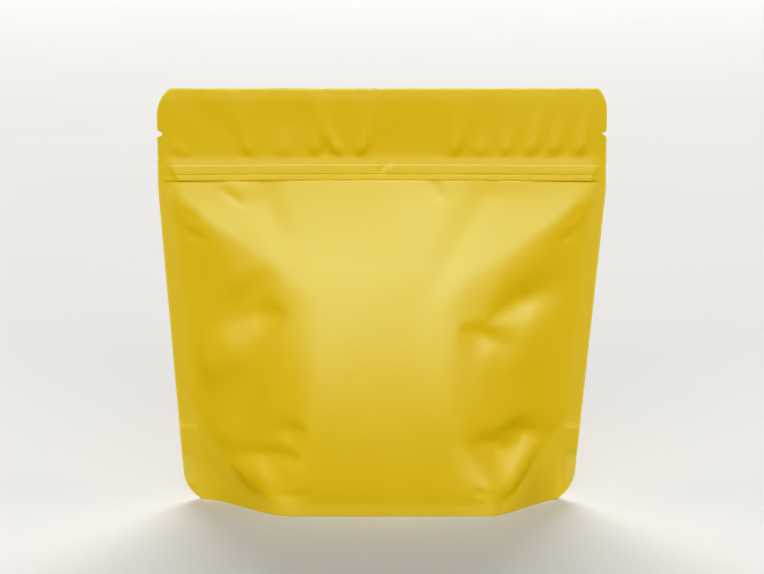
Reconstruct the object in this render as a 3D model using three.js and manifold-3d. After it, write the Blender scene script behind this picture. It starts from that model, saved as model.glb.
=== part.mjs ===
// Stand-up pouch of matte film: a filled bag with sealed side fins, a press-to-close band under the top
// flap, tear notches, and a bottom that opens out into a flat base.
// Millimetres. The pouch stands on the floor plane z = 0, its front faces -Y, and +X is to the right.
// A panel's depth is its distance from the middle plane y = 0, and is given at a place x, z of the film.
import * as THREE from 'three';
import { mergeVertices } from 'three/addons/utils/BufferGeometryUtils.js';
import Module from 'manifold-3d';

const wasm = await Module();
wasm.setup();

// Outline of the film. Its sides are upright down to the shoulder and taper from there to the foot.
const WIDTH = 200;
const HEIGHT = 188;
const SHOULDER_HEIGHT = 142;
const FOOT_HEIGHT = 12;
const FOOT_HALF_LEFT = 90.1;
const FOOT_HALF_RIGHT = 87.6;
const CORNER_RADIUS = 15;
const TOP_LEFT_DROP = 12;
const TOP_RIGHT_DROP = 10.2;
const FOOT_CORNER_RISE = 13;
const NOTCH_HEIGHT = 167.5;
const NOTCH_DEPTH = 2;
const NOTCH_MOUTH = 2.4;
const CUT_MARGIN = 8;
const CUT_LENGTH = 40;

// Seals, closing band and top flap
const FILM_HALF = 0.3;
const SIDE_SEAL = 7;
const BOTTOM_SEAL = 5.5;
const CORNER_SEAL_START = 42;
const CORNER_SEAL_RUN = 42;
const CORNER_SEAL_RISE = 28;
const CORNER_SEAL_BEND = 1.35;
const ZIP_LOW = 146.2;
const ZIP_GROOVE = 149.6;
const ZIP_HIGH = 153.8;
const FLANGE_TOP = 157.6;
const FLANGE_RISE = 0.4;
const ZIP_RISE = 0.25;
const RIB_RISE = 0.25;
const ZIP_END = 95;
const FLAP_LEAN = 2.6;
const FLAP_LEAN_SPAN = [-6, 34];
const FLAP_CURL = 0.5;
const FLAP_CURL_SPAN = [25, 31];

// Belly: the middle of a panel, deepest a little above the foot
const BELLY_DEPTH = 31.8;
const BELLY_HEIGHT = 29;
const BELLY_TURN = 110;
const LOWER_CURVE = 0.00268;
const UPPER_CURVE = 0.0026;
const UPPER_SLOPE = 0.434;
const BELLY_CROWN = 0.08;
const BELLY_CROWN_HALF = 60;
const MIDDLE = 1.5;

// Cheeks: the flanks that rise from the side seals, each size given for mid height, foot and head
const CHEEK_SLOPE = { middle: 0.5, foot: 0.28, head: 0 };
const CHEEK_INSET = { middle: 0, foot: 2, head: 0 };
const CHEEK_START_ROUND = { middle: 2, foot: 2, head: -1.2 };
const CHEEK_RIDGE_ROUND = { middle: 8.5, foot: 4, head: -6 };
const FOOT_SPAN = [0, 70];
const HEAD_SPAN = [85, 146];

// Rim: the bottom edge, straight in front and curving in to the side seals
const RIM_DEPTH = 30.8;
const RIM_LEFT = [-84, -40];
const RIM_RIGHT = [45.5, 84];
const RIM_SPAN = [2, 48];
const RIM_SWELL_START = 30.3;

// Underside: a thin skirt, a groove inside it, and the base that lies flat on the floor
const SKIRT = 0.6;
const SKIRT_SHARE = 0.15;
const GROOVE_START = 1.0;
const GROOVE_SHARE = 0.25;
const GROOVE_LIMIT = 10;
const GROOVE_WIDTH = 14;
const GROOVE_FADE = [4, 9];

// Creases pressed into the cheeks: each runs from a tail near the side seal to a tip beside the belly.
const FRONT_CREASES = [
  { tip: [-50, 88.5], tail: [-84, 75.5], depth: 4.6, below: 0.5, above: 0.22, soft: 3.2 },
  { tip: [51, 92.5], tail: [79, 102], depth: 4.6, below: 0.3, above: 0.3, soft: 2.6 },
  { tip: [43, 81], tail: [62, 76], depth: 3.0, below: 0.45, above: 0.3, soft: 2.2 },
  { tip: [-37, 40], tail: [-50, 35.5], depth: 2.6, below: 0.55, above: 0.35, soft: 1.8 },
  { tip: [-41, 27.5], tail: [-68, 19], depth: 3.6, below: 0.6, above: 0.25, soft: 2.4 },
  { tip: [61, 35], tail: [76, 26], depth: 2.6, below: 0.6, above: 0.25, soft: 2.2 },
  { tip: [44, 30], tail: [68, 17], depth: 3.8, below: 0.6, above: 0.25, soft: 2.6 },
];
const BACK_CREASES = [
  { tip: [50, 86], tail: [82, 74], depth: 4.2, below: 0.5, above: 0.25, soft: 3.0 },
  { tip: [-49, 95], tail: [-78, 104], depth: 4.2, below: 0.3, above: 0.3, soft: 2.6 },
  { tip: [40, 37], tail: [55, 32], depth: 2.8, below: 0.55, above: 0.3, soft: 2.0 },
  { tip: [-43, 31], tail: [-69, 20], depth: 3.6, below: 0.6, above: 0.25, soft: 2.4 },
];
const CREASE_FLOOR_ROUND = { below: 1.6, above: 2.5 };
const CREASE_END_SLOPE = 0.9;
const CREASE_END_ROUND = 2;
const CREASE_FADE = 11;

// Grid of the skin
const FIN_STEPS = 2;
const BODY_STEPS = 40;
const LEVEL_BANDS = [
  { from: 0, to: BOTTOM_SEAL, steps: 2 },
  { from: BOTTOM_SEAL, to: 44, steps: 12 },
  { from: 44, to: 102, steps: 13 },
  { from: 102, to: ZIP_LOW, steps: 10 },
  { from: ZIP_LOW, to: ZIP_GROOVE, steps: 2 },
  { from: ZIP_GROOVE, to: ZIP_HIGH, steps: 2 },
  { from: ZIP_HIGH, to: FLANGE_TOP, steps: 1 },
  { from: FLANGE_TOP, to: HEIGHT, steps: 6 },
];
const BASE_SPACING = [0.06, 0.16, 0.3, 0.5, 1];

function clamp(value, low, high) {
  return Math.min(Math.max(value, low), high);
}

function smoothStep(span, value) {
  const t = clamp((value - span[0]) / (span[1] - span[0]), 0, 1);
  return t * t * (3 - 2 * t);
}

// Zero below zero and the value itself above, rounded over between them.
function softPlus(value, round) {
  const t = value / round;
  return round * (Math.max(t, 0) + Math.log1p(Math.exp(-Math.abs(t))));
}

// The lesser of two depths, rounded over where they cross.
function softMin(a, b, round) {
  const share = clamp(0.5 + (0.5 * (b - a)) / round, 0, 1);
  return b + (a - b) * share - round * share * (1 - share);
}

// Distance from the middle line to a side edge.
function halfWidth(z, footHalf) {
  const down = Math.max((SHOULDER_HEIGHT - z) / (SHOULDER_HEIGHT - FOOT_HEIGHT), 0);
  return WIDTH / 2 - (WIDTH / 2 - footHalf) * down;
}

// Two parabolas that meet at one slope.
function bellyDepth(z) {
  const low = Math.min(z, BELLY_TURN) - BELLY_HEIGHT;
  const up = Math.max(z - BELLY_TURN, 0);
  return BELLY_DEPTH - LOWER_CURVE * low * low - UPPER_SLOPE * up + UPPER_CURVE * up * up;
}

function rimDepth(x) {
  return RIM_DEPTH * smoothStep(RIM_LEFT, x) * (1 - smoothStep(RIM_RIGHT, x));
}

// Height of the bottom seal's upper edge: level in the middle, rising to both side seals.
function sealHeight(x) {
  const out = Math.max((Math.abs(x - MIDDLE) - CORNER_SEAL_START) / CORNER_SEAL_RUN, 0);
  return BOTTOM_SEAL + CORNER_SEAL_RISE * Math.pow(out, CORNER_SEAL_BEND);
}

// The filled panel before any crease: a belly between two cheeks, which turns into the rim at the foot.
function plainDepth(x, z) {
  const foot = 1 - smoothStep(FOOT_SPAN, z);
  const head = smoothStep(HEAD_SPAN, z);
  const at = (size) => size.middle + size.foot * foot + size.head * head;
  const across = (x - MIDDLE) / BELLY_CROWN_HALF;
  const belly = bellyDepth(z) * (1 - BELLY_CROWN * across * across);
  const inset = SIDE_SEAL + at(CHEEK_INSET);
  const fromLeft = halfWidth(z, FOOT_HALF_LEFT) + x - inset;
  const fromRight = halfWidth(z, FOOT_HALF_RIGHT) - x - inset;
  const cheek = (distance) => at(CHEEK_SLOPE) * softPlus(distance, at(CHEEK_START_ROUND));
  const round = at(CHEEK_RIDGE_ROUND);
  const filled = softMin(softMin(belly, cheek(fromLeft), round), cheek(fromRight), round);
  const rimShare = 1 - smoothStep(RIM_SPAN, z);
  const swell = Math.max(bellyDepth(z) / RIM_SWELL_START, 1);
  return filled * (1 - rimShare) + rimDepth(x) * swell * rimShare;
}

// A groove with a straight floor from tail to tip, a slope on each side, and a round end at the tip.
function creaseDepth(x, z, crease) {
  const side = Math.sign(crease.tip[0] - crease.tail[0]);
  const runX = (crease.tip[0] - crease.tail[0]) * side;
  const runZ = crease.tip[1] - crease.tail[1];
  const length = Math.hypot(runX, runZ);
  const dx = (x - crease.tail[0]) * side;
  const dz = z - crease.tail[1];
  const along = (dx * runX + dz * runZ) / length;
  const across = (dz * runX - dx * runZ) / length;
  const start = plainDepth(crease.tail[0], crease.tail[1]);
  const end = plainDepth(crease.tip[0], crease.tip[1]) - crease.depth;
  const floor = start + ((end - start) * along) / length;
  const lower = crease.below * softPlus(-across, CREASE_FLOOR_ROUND.below);
  const upper = crease.above * softPlus(across, CREASE_FLOOR_ROUND.above);
  return floor + lower + upper + CREASE_END_SLOPE * softPlus(along - length, CREASE_END_ROUND);
}

// The filled panel with its creases, which fade out above the bottom seal.
function bodyDepth(x, z, creases) {
  const plain = plainDepth(x, z);
  let depth = plain;
  for (const crease of creases) {
    depth = softMin(depth, creaseDepth(x, z, crease), crease.soft);
  }
  const share = smoothStep([BOTTOM_SEAL, BOTTOM_SEAL + CREASE_FADE], z);
  return Math.max(plain + (depth - plain) * share, 0);
}

// Relief of the closing band: a flat flange with two ribs below it.
function zipDepth(x, z) {
  const ends = 1 - smoothStep([ZIP_END - 1, ZIP_END + 1], Math.abs(x));
  const flange = FLANGE_RISE * (1 - smoothStep([FLANGE_TOP - 1, FLANGE_TOP + 1], z));
  const lift = ZIP_RISE * (1 - smoothStep([ZIP_HIGH, FLANGE_TOP], z));
  const rib = (low, high) => {
    const off = (2 * z - low - high) / (high - low);
    return RIB_RISE * Math.max(1 - off * off, 0);
  };
  return ends * (flange + lift + rib(ZIP_GROOVE, ZIP_HIGH) + rib(ZIP_LOW, ZIP_GROOVE));
}

// How far the top flap leans to the front, with its top edge curling back a little.
function flapLean(z) {
  const up = z - FLANGE_TOP;
  return FLAP_LEAN * smoothStep(FLAP_LEAN_SPAN, up) - FLAP_CURL * smoothStep(FLAP_CURL_SPAN, up);
}

function panelDepth(x, z, creases) {
  const relief = z > ZIP_LOW ? zipDepth(x, z) : bodyDepth(x, z, creases);
  return FILM_HALF + relief;
}

function skirtThickness(depth) {
  return Math.min(SKIRT, SKIRT_SHARE * depth);
}

function grooveStart(depth) {
  return Math.min(GROOVE_START, GROOVE_SHARE * depth);
}

// Distances from the rim to the rows of the underside, where the rim is this deep. The last is the middle.
function baseRows(depth) {
  const start = grooveStart(depth);
  const spread = BASE_SPACING.map((share) => start + (depth - start) * share);
  return [skirtThickness(depth), start, ...spread];
}

// Height of the underside above the floor.
function baseHeight(x, depth, fromRim) {
  const start = grooveStart(depth);
  if (fromRim < start) {
    return 0;
  }
  const groove = Math.min(sealHeight(x), GROOVE_LIMIT) * smoothStep(GROOVE_FADE, depth);
  return groove * (1 - smoothStep([0, GROOVE_WIDTH], fromRim - start));
}

function gridLevels() {
  const levels = [0];
  for (const band of LEVEL_BANDS) {
    for (let i = 1; i <= band.steps; i += 1) {
      levels.push(band.from + ((band.to - band.from) * i) / band.steps);
    }
  }
  return levels;
}

// Positions across the film at one height, with columns on the inner edges of both side seals.
function gridColumns(z) {
  const left = -halfWidth(z, FOOT_HALF_LEFT);
  const right = halfWidth(z, FOOT_HALF_RIGHT);
  const columns = [];
  for (let i = 0; i < FIN_STEPS; i += 1) {
    columns.push(left + (SIDE_SEAL * i) / FIN_STEPS);
  }
  const span = right - left - 2 * SIDE_SEAL;
  for (let i = 0; i <= BODY_STEPS; i += 1) {
    columns.push(left + SIDE_SEAL + (span * i) / BODY_STEPS);
  }
  for (let i = 1; i <= FIN_STEPS; i += 1) {
    columns.push(right - SIDE_SEAL + (SIDE_SEAL * i) / FIN_STEPS);
  }
  return columns;
}

// Points and triangles of a closed skin, filled in face by face.
class Skin {
  constructor() {
    this.positions = [];
    this.triangles = [];
  }

  point(x, y, z) {
    this.positions.push(x, y, z);
    return this.positions.length / 3 - 1;
  }

  distance(a, b) {
    const from = new THREE.Vector3().fromArray(this.positions, a * 3);
    return from.distanceTo(new THREE.Vector3().fromArray(this.positions, b * 3));
  }

  triangle(a, b, c) {
    this.triangles.push(a, b, c);
  }

  // A quad is split along its shorter diagonal.
  quad(a, b, c, d) {
    if (this.distance(a, c) < this.distance(b, d)) {
      this.triangle(a, b, c);
      this.triangle(a, c, d);
    } else {
      this.triangle(a, b, d);
      this.triangle(b, c, d);
    }
  }
}

// One column of the underside, from the front rim across to the back rim.
function baseColumn(skin, x, frontRim, backRim) {
  const depth = FILM_HALF + rimDepth(x);
  const rows = baseRows(depth);
  const middle = rows.pop();
  const inside = (fromRim, creases) => {
    const room = panelDepth(x, baseHeight(x, depth, fromRim), creases) - skirtThickness(depth);
    return Math.min(depth - fromRim, room);
  };
  const frontRows = rows.map((row) => {
    return skin.point(x, -inside(row, FRONT_CREASES), baseHeight(x, depth, row));
  });
  const centre = skin.point(x, 0, baseHeight(x, depth, middle));
  const backRows = rows.map((row) => {
    return skin.point(x, inside(row, BACK_CREASES), baseHeight(x, depth, row));
  });
  return [frontRim, ...frontRows, centre, ...backRows.reverse(), backRim];
}

// Closed skin of the filled film: both panels, the side and top edges between them, and the underside.
function filmSolid() {
  const skin = new Skin();
  const levels = gridLevels();
  const front = levels.map((z) => gridColumns(z).map((x) => {
    return skin.point(x, -panelDepth(x, z, FRONT_CREASES) - flapLean(z), z);
  }));
  const back = levels.map((z) => gridColumns(z).map((x) => {
    return skin.point(x, panelDepth(x, z, BACK_CREASES) - flapLean(z), z);
  }));
  const top = levels.length - 1;
  const last = front[0].length - 1;
  for (let j = 0; j < top; j += 1) {
    for (let i = 0; i < last; i += 1) {
      skin.quad(front[j][i], front[j][i + 1], front[j + 1][i + 1], front[j + 1][i]);
      skin.quad(back[j][i + 1], back[j][i], back[j + 1][i], back[j + 1][i + 1]);
    }
    skin.quad(back[j][0], front[j][0], front[j + 1][0], back[j + 1][0]);
    skin.quad(front[j][last], back[j][last], back[j + 1][last], front[j + 1][last]);
  }
  for (let i = 0; i < last; i += 1) {
    skin.quad(front[top][i], front[top][i + 1], back[top][i + 1], back[top][i]);
  }

  // The end columns of the underside have no rows of their own, so fans close it there.
  const places = gridColumns(0);
  const columns = places.slice(1, last).map((x, i) => {
    return baseColumn(skin, x, front[0][i + 1], back[0][i + 1]);
  });
  const across = columns[0].length - 1;
  for (let i = 0; i < columns.length - 1; i += 1) {
    for (let k = 0; k < across; k += 1) {
      skin.quad(columns[i][k], columns[i][k + 1], columns[i + 1][k + 1], columns[i + 1][k]);
    }
  }
  const first = columns[0];
  const final = columns[columns.length - 1];
  const half = across / 2;
  for (let k = 0; k < across; k += 1) {
    const panel = k < half ? front : back;
    skin.triangle(panel[0][0], first[k + 1], first[k]);
    skin.triangle(panel[0][last], final[k], final[k + 1]);
  }
  skin.triangle(front[0][0], back[0][0], first[half]);
  skin.triangle(back[0][last], front[0][last], final[half]);
  return solidFrom(skin.positions, skin.triangles);
}

function solidFrom(positions, triangles) {
  const mesh = new wasm.Mesh({
    numProp: 3,
    vertProperties: new Float32Array(positions),
    triVerts: new Uint32Array(triangles),
  });
  return new wasm.Manifold(mesh);
}

// A flat shape in the plane of the film, with x across and y up, cut straight through front to back.
function cutterFrom(shape) {
  const extruded = new THREE.ExtrudeGeometry(shape, { depth: CUT_LENGTH, bevelEnabled: false });
  extruded.translate(0, 0, -CUT_LENGTH / 2);
  extruded.rotateX(Math.PI / 2);
  extruded.deleteAttribute('normal');
  extruded.deleteAttribute('uv');
  const merged = mergeVertices(extruded);
  return solidFrom(merged.attributes.position.array, merged.index.array);
}

// Everything outside a rounded corner. The arc touches the side edge where it starts, and crosses the
// level edge at a blunt point. Side is -1 on the left, and upward is -1 at the foot.
function cornerCutter(side, upward, edge, start) {
  const rise = upward > 0 ? HEIGHT - start : start;
  const sweep = Math.asin(rise / CORNER_RADIUS);
  const centre = edge - CORNER_RADIUS;
  const from = side > 0 ? 0 : Math.PI;
  const level = start + upward * (rise + CUT_MARGIN);
  const shape = new THREE.Shape();
  shape.moveTo(side * edge, start);
  shape.absarc(side * centre, start, CORNER_RADIUS, from, from + side * upward * sweep, side * upward < 0);
  shape.lineTo(side * (centre + CORNER_RADIUS * Math.cos(sweep)), level);
  shape.lineTo(side * (edge + CUT_MARGIN), level);
  shape.lineTo(side * (edge + CUT_MARGIN), start);
  return cutterFrom(shape);
}

// The left tear notch has a round end.
function roundNotch() {
  const radius = NOTCH_MOUTH / 2;
  const outside = -WIDTH / 2 - CUT_MARGIN;
  const shape = new THREE.Shape();
  shape.moveTo(outside, NOTCH_HEIGHT - radius);
  shape.absarc(NOTCH_DEPTH - radius - WIDTH / 2, NOTCH_HEIGHT, radius, -Math.PI / 2, Math.PI / 2, false);
  shape.lineTo(outside, NOTCH_HEIGHT + radius);
  return cutterFrom(shape);
}

// The right tear notch comes to a point.
function pointedNotch() {
  const half = NOTCH_MOUTH / 2;
  const outside = WIDTH / 2 + CUT_MARGIN;
  const shape = new THREE.Shape();
  shape.moveTo(WIDTH / 2 - NOTCH_DEPTH, NOTCH_HEIGHT);
  shape.lineTo(WIDTH / 2, NOTCH_HEIGHT - half);
  shape.lineTo(outside, NOTCH_HEIGHT - half);
  shape.lineTo(outside, NOTCH_HEIGHT + half);
  shape.lineTo(WIDTH / 2, NOTCH_HEIGHT + half);
  return cutterFrom(shape);
}

function pouchSolid() {
  const footLeft = halfWidth(FOOT_CORNER_RISE, FOOT_HALF_LEFT);
  const footRight = halfWidth(FOOT_CORNER_RISE, FOOT_HALF_RIGHT);
  return filmSolid()
    .subtract(cornerCutter(-1, 1, WIDTH / 2, HEIGHT - TOP_LEFT_DROP))
    .subtract(cornerCutter(1, 1, WIDTH / 2, HEIGHT - TOP_RIGHT_DROP))
    .subtract(cornerCutter(-1, -1, footLeft, FOOT_CORNER_RISE))
    .subtract(cornerCutter(1, -1, footRight, FOOT_CORNER_RISE))
    .subtract(roundNotch())
    .subtract(pointedNotch());
}

function meshFrom(name, solid, material) {
  const data = solid.getMesh();
  const geometry = new THREE.BufferGeometry();
  geometry.setAttribute('position', new THREE.BufferAttribute(new Float32Array(data.vertProperties), 3));
  geometry.setIndex(new THREE.BufferAttribute(new Uint32Array(data.triVerts), 1));
  geometry.computeVertexNormals();
  const mesh = new THREE.Mesh(geometry, material);
  mesh.name = name;
  return mesh;
}

const film = new THREE.MeshStandardMaterial({
  name: 'film',
  color: new THREE.Color().setRGB(0.86, 0.735, 0.165, THREE.SRGBColorSpace),
  roughness: 0.5,
  metalness: 0,
});

const pouch = new THREE.Group();
pouch.add(meshFrom('pouch', pouchSolid(), film));

export default pouch;
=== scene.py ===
"""A filled stand-up pouch of matte yellow film, standing on a plain pale floor.

Lengths of the film are in millimetres while it is worked out and become metres in the mesh. The pouch
stands on z = 0, its front faces -Y and +X is to the right.
"""

import logging
import math
from dataclasses import dataclass, field
from enum import Enum
from typing import Any, Union

import bpy
import numpy as np
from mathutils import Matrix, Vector


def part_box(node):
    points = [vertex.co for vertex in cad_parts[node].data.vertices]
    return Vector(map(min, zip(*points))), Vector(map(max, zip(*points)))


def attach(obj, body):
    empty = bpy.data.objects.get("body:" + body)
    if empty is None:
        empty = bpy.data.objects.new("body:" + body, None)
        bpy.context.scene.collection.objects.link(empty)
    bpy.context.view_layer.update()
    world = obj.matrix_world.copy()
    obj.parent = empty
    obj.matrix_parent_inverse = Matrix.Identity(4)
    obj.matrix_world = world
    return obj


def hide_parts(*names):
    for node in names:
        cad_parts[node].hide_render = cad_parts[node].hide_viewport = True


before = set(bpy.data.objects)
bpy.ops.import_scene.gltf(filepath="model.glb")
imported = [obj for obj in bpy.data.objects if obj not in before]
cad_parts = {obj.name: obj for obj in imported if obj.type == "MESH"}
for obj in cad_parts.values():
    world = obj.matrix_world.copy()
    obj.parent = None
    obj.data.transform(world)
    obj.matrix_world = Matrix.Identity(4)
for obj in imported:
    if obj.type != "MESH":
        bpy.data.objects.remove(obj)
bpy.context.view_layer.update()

LOG = logging.getLogger("pouch")
MM = 0.001

Array = np.ndarray
Numbers = Union[float, Array]
Point = tuple[float, float]
Span = tuple[float, float]
Colour = tuple[float, float, float]


class Mask(str, Enum):
    """Marks that the film carries from its shape to its finish."""

    # Band along the cut edge that takes a painted highlight
    EDGE_HIGHLIGHT = "film_edge_highlight"
    SEAL = "film_seal"
    WINDOW = "film_window"


class LampRole(Enum):
    """What a lamp does: light the film's body evenly, or show in its sheen."""

    BODY = "body"
    SHEEN = "sheen"


class Chart(Enum):
    """Places of the film's parts on its flat map, as the corner of each part."""

    FRONT = (0.006, 0.006)
    BACK = (0.006, 0.505)
    UNDERSIDE = (0.535, 0.006)
    LEFT_EDGE = (0.535, 0.200)
    RIGHT_EDGE = (0.535, 0.220)
    TOP_EDGE = (0.535, 0.240)


def smooth_step(low: Numbers, high: Numbers, value: Numbers) -> Numbers:
    """Rise from 0 at low to 1 at high, level at both ends.

    Args:
        low: Value where the rise starts.
        high: Value where it ends.
        value: Values to place on the rise.

    Returns:
        Share of the rise at each value.
    """
    share = np.clip((value - low) / (high - low), 0.0, 1.0)
    return share * share * (3.0 - 2.0 * share)


def soft_plus(value: Array, rounding: Numbers) -> Array:
    """Zero below zero and the value itself above, rounded over between them.

    Args:
        value: Values to bend.
        rounding: Size of the round part.

    Returns:
        The bent values.
    """
    return rounding * np.logaddexp(0.0, value / rounding)


def soft_min(first: Array, second: Array, rounding: Numbers) -> Array:
    """The lesser of two depths, rounded over where they cross.

    Args:
        first: One depth.
        second: The other depth.
        rounding: Difference within which the two run together.

    Returns:
        The joined depth.
    """
    share = np.clip(0.5 + 0.5 * (second - first) / rounding, 0.0, 1.0)
    return second + (first - second) * share - rounding * share * (1.0 - share)


def bell(offset: Array, width: Numbers) -> Array:
    """Round hump of height 1 and the given half width."""
    return np.exp(-((offset / width) ** 2))


def within(ends: Span, x: Array) -> Array:
    """1 around the middle of the film, falling to 0 over the given distances from it."""
    return 1.0 - smooth_step(*ends, np.abs(x))


@dataclass(frozen=True)
class Outline:
    """Cut edge of the film in the plane of the sealed fins.

    Attributes:
        width: Greatest width of the film.
        height: Height of the film.
        shoulder: Height down to which the sides are upright.
        foot: Height at which the foot's half widths are taken.
        foot_left: Half width of the left side at the foot.
        foot_right: Half width of the right side at the foot.
        corner_radius: Radius of all four corners.
        top_left_drop: Height of the arc of the upper left corner.
        top_right_drop: Height of the arc of the upper right corner.
        foot_corner_rise: Height of the arcs of the lower corners.
        notch_height: Height of the tear notches.
        notch_depth: How far the notches go into the film.
        notch_half: Half height of the mouth of a notch.
    """

    width: float
    height: float
    shoulder: float = 142.0
    foot: float = 12.0
    foot_left: float = 90.1
    foot_right: float = 87.6
    corner_radius: float = 15.0
    top_left_drop: float = 12.0
    top_right_drop: float = 10.2
    foot_corner_rise: float = 13.0
    notch_height: float = 167.5
    notch_depth: float = 2.0
    notch_half: float = 1.2

    def reach(self, z: Array, foot_half: float) -> Array:
        """Distance from the middle line to a straight side edge.

        Args:
            z: Heights.
            foot_half: That distance at the foot.

        Returns:
            The distance at each height.
        """
        down = np.clip((self.shoulder - z) / (self.shoulder - self.foot), 0.0, None)
        return self.width / 2 - (self.width / 2 - foot_half) * down

    def from_left(self, x: Array, z: Array) -> Array:
        """Distance of a place from the straight left edge."""
        return x + self.reach(z, self.foot_left)

    def from_right(self, x: Array, z: Array) -> Array:
        """Distance of a place from the straight right edge."""
        return self.reach(z, self.foot_right) - x

    def corner_cut(self, z: Array, top_drop: float) -> Array:
        """How far the round corners take a side edge in.

        Args:
            z: Heights.
            top_drop: Height of the arc of the upper corner.

        Returns:
            Distance from the straight edge to the cut edge.
        """
        above = np.maximum(z - (self.height - top_drop), 0.0)
        below = np.maximum(self.foot_corner_rise - z, 0.0)
        climb = np.maximum(above, below)
        return self.corner_radius - np.sqrt(self.corner_radius**2 - climb**2)

    def round_notch(self, z: Array) -> Array:
        """Depth of the left tear notch, a slot with a round end.

        Args:
            z: Heights.

        Returns:
            How far the notch goes in at each height.
        """
        off = np.abs(z - self.notch_height) / self.notch_half
        end = self.notch_half * np.sqrt(np.clip(1.0 - off**2, 0.0, 1.0))
        return np.where(off < 1.0, self.notch_depth - self.notch_half + end, 0.0)

    def pointed_notch(self, z: Array) -> Array:
        """Depth of the right tear notch, a plain nick."""
        off = np.abs(z - self.notch_height) / self.notch_half
        return self.notch_depth * np.clip(1.0 - off, 0.0, 1.0)

    def left_edge(self, z: Array) -> Array:
        """Place of the left cut edge at each height."""
        cut = self.corner_cut(z, self.top_left_drop) + self.round_notch(z)
        return cut - self.reach(z, self.foot_left)

    def right_edge(self, z: Array) -> Array:
        """Place of the right cut edge at each height."""
        cut = self.corner_cut(z, self.top_right_drop) + self.pointed_notch(z)
        return self.reach(z, self.foot_right) - cut


@dataclass(frozen=True)
class Crease:
    """A fold pressed into a filled panel along a straight line, sharp at its tip and open at its tail.

    Attributes:
        tail: Place where the fold dies out beside the fin.
        tip: Place where it ends at the belly.
        depth: Greatest depth under the plain panel.
        under: Height of the flank under the line.
        over: Height of the flank over the line.
        peak: Share of the length at which the fold is deepest.
        floor: Rounding of the bottom of the fold.
        tip_share: Share of a flank's height that is left at the tip.
        fade_power: How fast the fold dies out towards its tail.
        wall_power: How abruptly the flanks end.
    """

    tail: Point
    tip: Point
    depth: float
    under: float
    over: float
    peak: float = 0.55
    floor: float = 1.0
    tip_share: float = 0.2
    fade_power: float = 1.3
    wall_power: float = 1.5

    def amount(self, x: Array, z: Array) -> Array:
        """How far the film goes in at each place.

        Args:
            x: Places across the film.
            z: Heights on the film.

        Returns:
            Depth of the fold under the plain panel.
        """
        side = np.sign(self.tip[0] - self.tail[0])
        run_x = (self.tip[0] - self.tail[0]) * side
        run_z = self.tip[1] - self.tail[1]
        length = np.hypot(run_x, run_z)
        off_x = (x - self.tail[0]) * side
        off_z = z - self.tail[1]
        share = (off_x * run_x + off_z * run_z) / length**2
        across = (off_z * run_x - off_x * run_z) / length
        growth = np.sin(0.5 * np.pi * np.clip((1.0 - share) / (1.0 - self.peak), 0.0, 1.0))
        fade = np.clip(share / self.peak, 0.0, 1.0) ** self.fade_power
        flank = np.where(across < 0.0, self.under, self.over)
        height = flank * (self.tip_share + (1.0 - self.tip_share) * growth)
        wall = (np.hypot(across, self.floor) - self.floor) / height
        return self.depth * growth * fade * np.exp(-(wall**self.wall_power))


@dataclass(frozen=True)
class Dent:
    """A shallow hollow or swelling of long oval form.

    Attributes:
        place: Middle of the dent.
        length: Half length along its own line.
        width: Half width across it.
        turn: Angle of the line over the level, in degrees.
        depth: Depth of a hollow, less than zero for a swelling.
        end_power: How abruptly the dent ends along its line.
    """

    place: Point
    length: float
    width: float
    turn: float
    depth: float
    end_power: int = 3

    def amount(self, x: Array, z: Array) -> Array:
        """How far the film goes in at each place.

        Args:
            x: Places across the film.
            z: Heights on the film.

        Returns:
            Depth of the dent under the plain film.
        """
        angle = np.radians(self.turn)
        off_x = x - self.place[0]
        off_z = z - self.place[1]
        along = off_x * np.cos(angle) + off_z * np.sin(angle)
        across = off_z * np.cos(angle) - off_x * np.sin(angle)
        ends = np.exp(-np.abs(along / self.length) ** self.end_power)
        return self.depth * ends * bell(across, self.width)


@dataclass(frozen=True)
class Wrinkle:
    """A fine raised line that bends once.

    Attributes:
        start: Where the line starts.
        bend: Place that the line bends towards.
        end: Where the line ends.
        width: Half width of the line.
        rise: Height of the line over the film.
        count: Number of places along the line from which distances are taken.
    """

    start: Point
    bend: Point
    end: Point
    width: float
    rise: float
    count: int = 25

    def amount(self, x: Array, z: Array) -> Array:
        """How far the film comes out at each place.

        Args:
            x: Places across the film.
            z: Heights on the film.

        Returns:
            Height of the wrinkle over the plain film.
        """
        best = np.full(x.shape, np.inf)
        share = np.zeros(x.shape)
        for step in np.linspace(0.0, 1.0, self.count):
            weights = ((1.0 - step) ** 2, 2.0 * step * (1.0 - step), step**2)
            line = np.array(weights) @ np.array((self.start, self.bend, self.end))
            distance = np.hypot(x - line[0], z - line[1])
            nearer = distance < best
            best = np.where(nearer, distance, best)
            share = np.where(nearer, step, share)
        ends = np.sqrt(np.maximum(np.sin(np.pi * share), 0.0))
        return self.rise * bell(best, self.width) * ends


@dataclass(frozen=True)
class Pleat:
    """A soft ridge of the top flap that rises from the closing band.

    Attributes:
        x: Place on the band.
        width: Half width of the ridge.
        fade: Height over which it dies out.
        rise: Height of the ridge over the flap.
        slant: Sideways run for each millimetre up.
        foot_share: Share of the half width that it has at its foot.
        spread_height: Height over which it gains another half width.
        foot_zone: Heights over the band over which the ridge starts.
    """

    x: float
    width: float
    fade: float
    rise: float
    slant: float
    foot_share: float = 0.75
    spread_height: float = 20.0
    foot_zone: Span = (-1.0, 5.0)

    def amount(self, x: Array, up: Array) -> Array:
        """How far the flap comes forward.

        Args:
            x: Places across the film.
            up: Heights over the closing band.

        Returns:
            Height of the ridge over the plain flap.
        """
        high = np.maximum(up, 0.0)
        middle = self.x + self.slant * high
        spread = self.width * (self.foot_share + high / self.spread_height)
        foot = smooth_step(*self.foot_zone, up)
        return self.rise * bell(x - middle, spread) * np.exp(-high / self.fade) * foot


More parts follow.
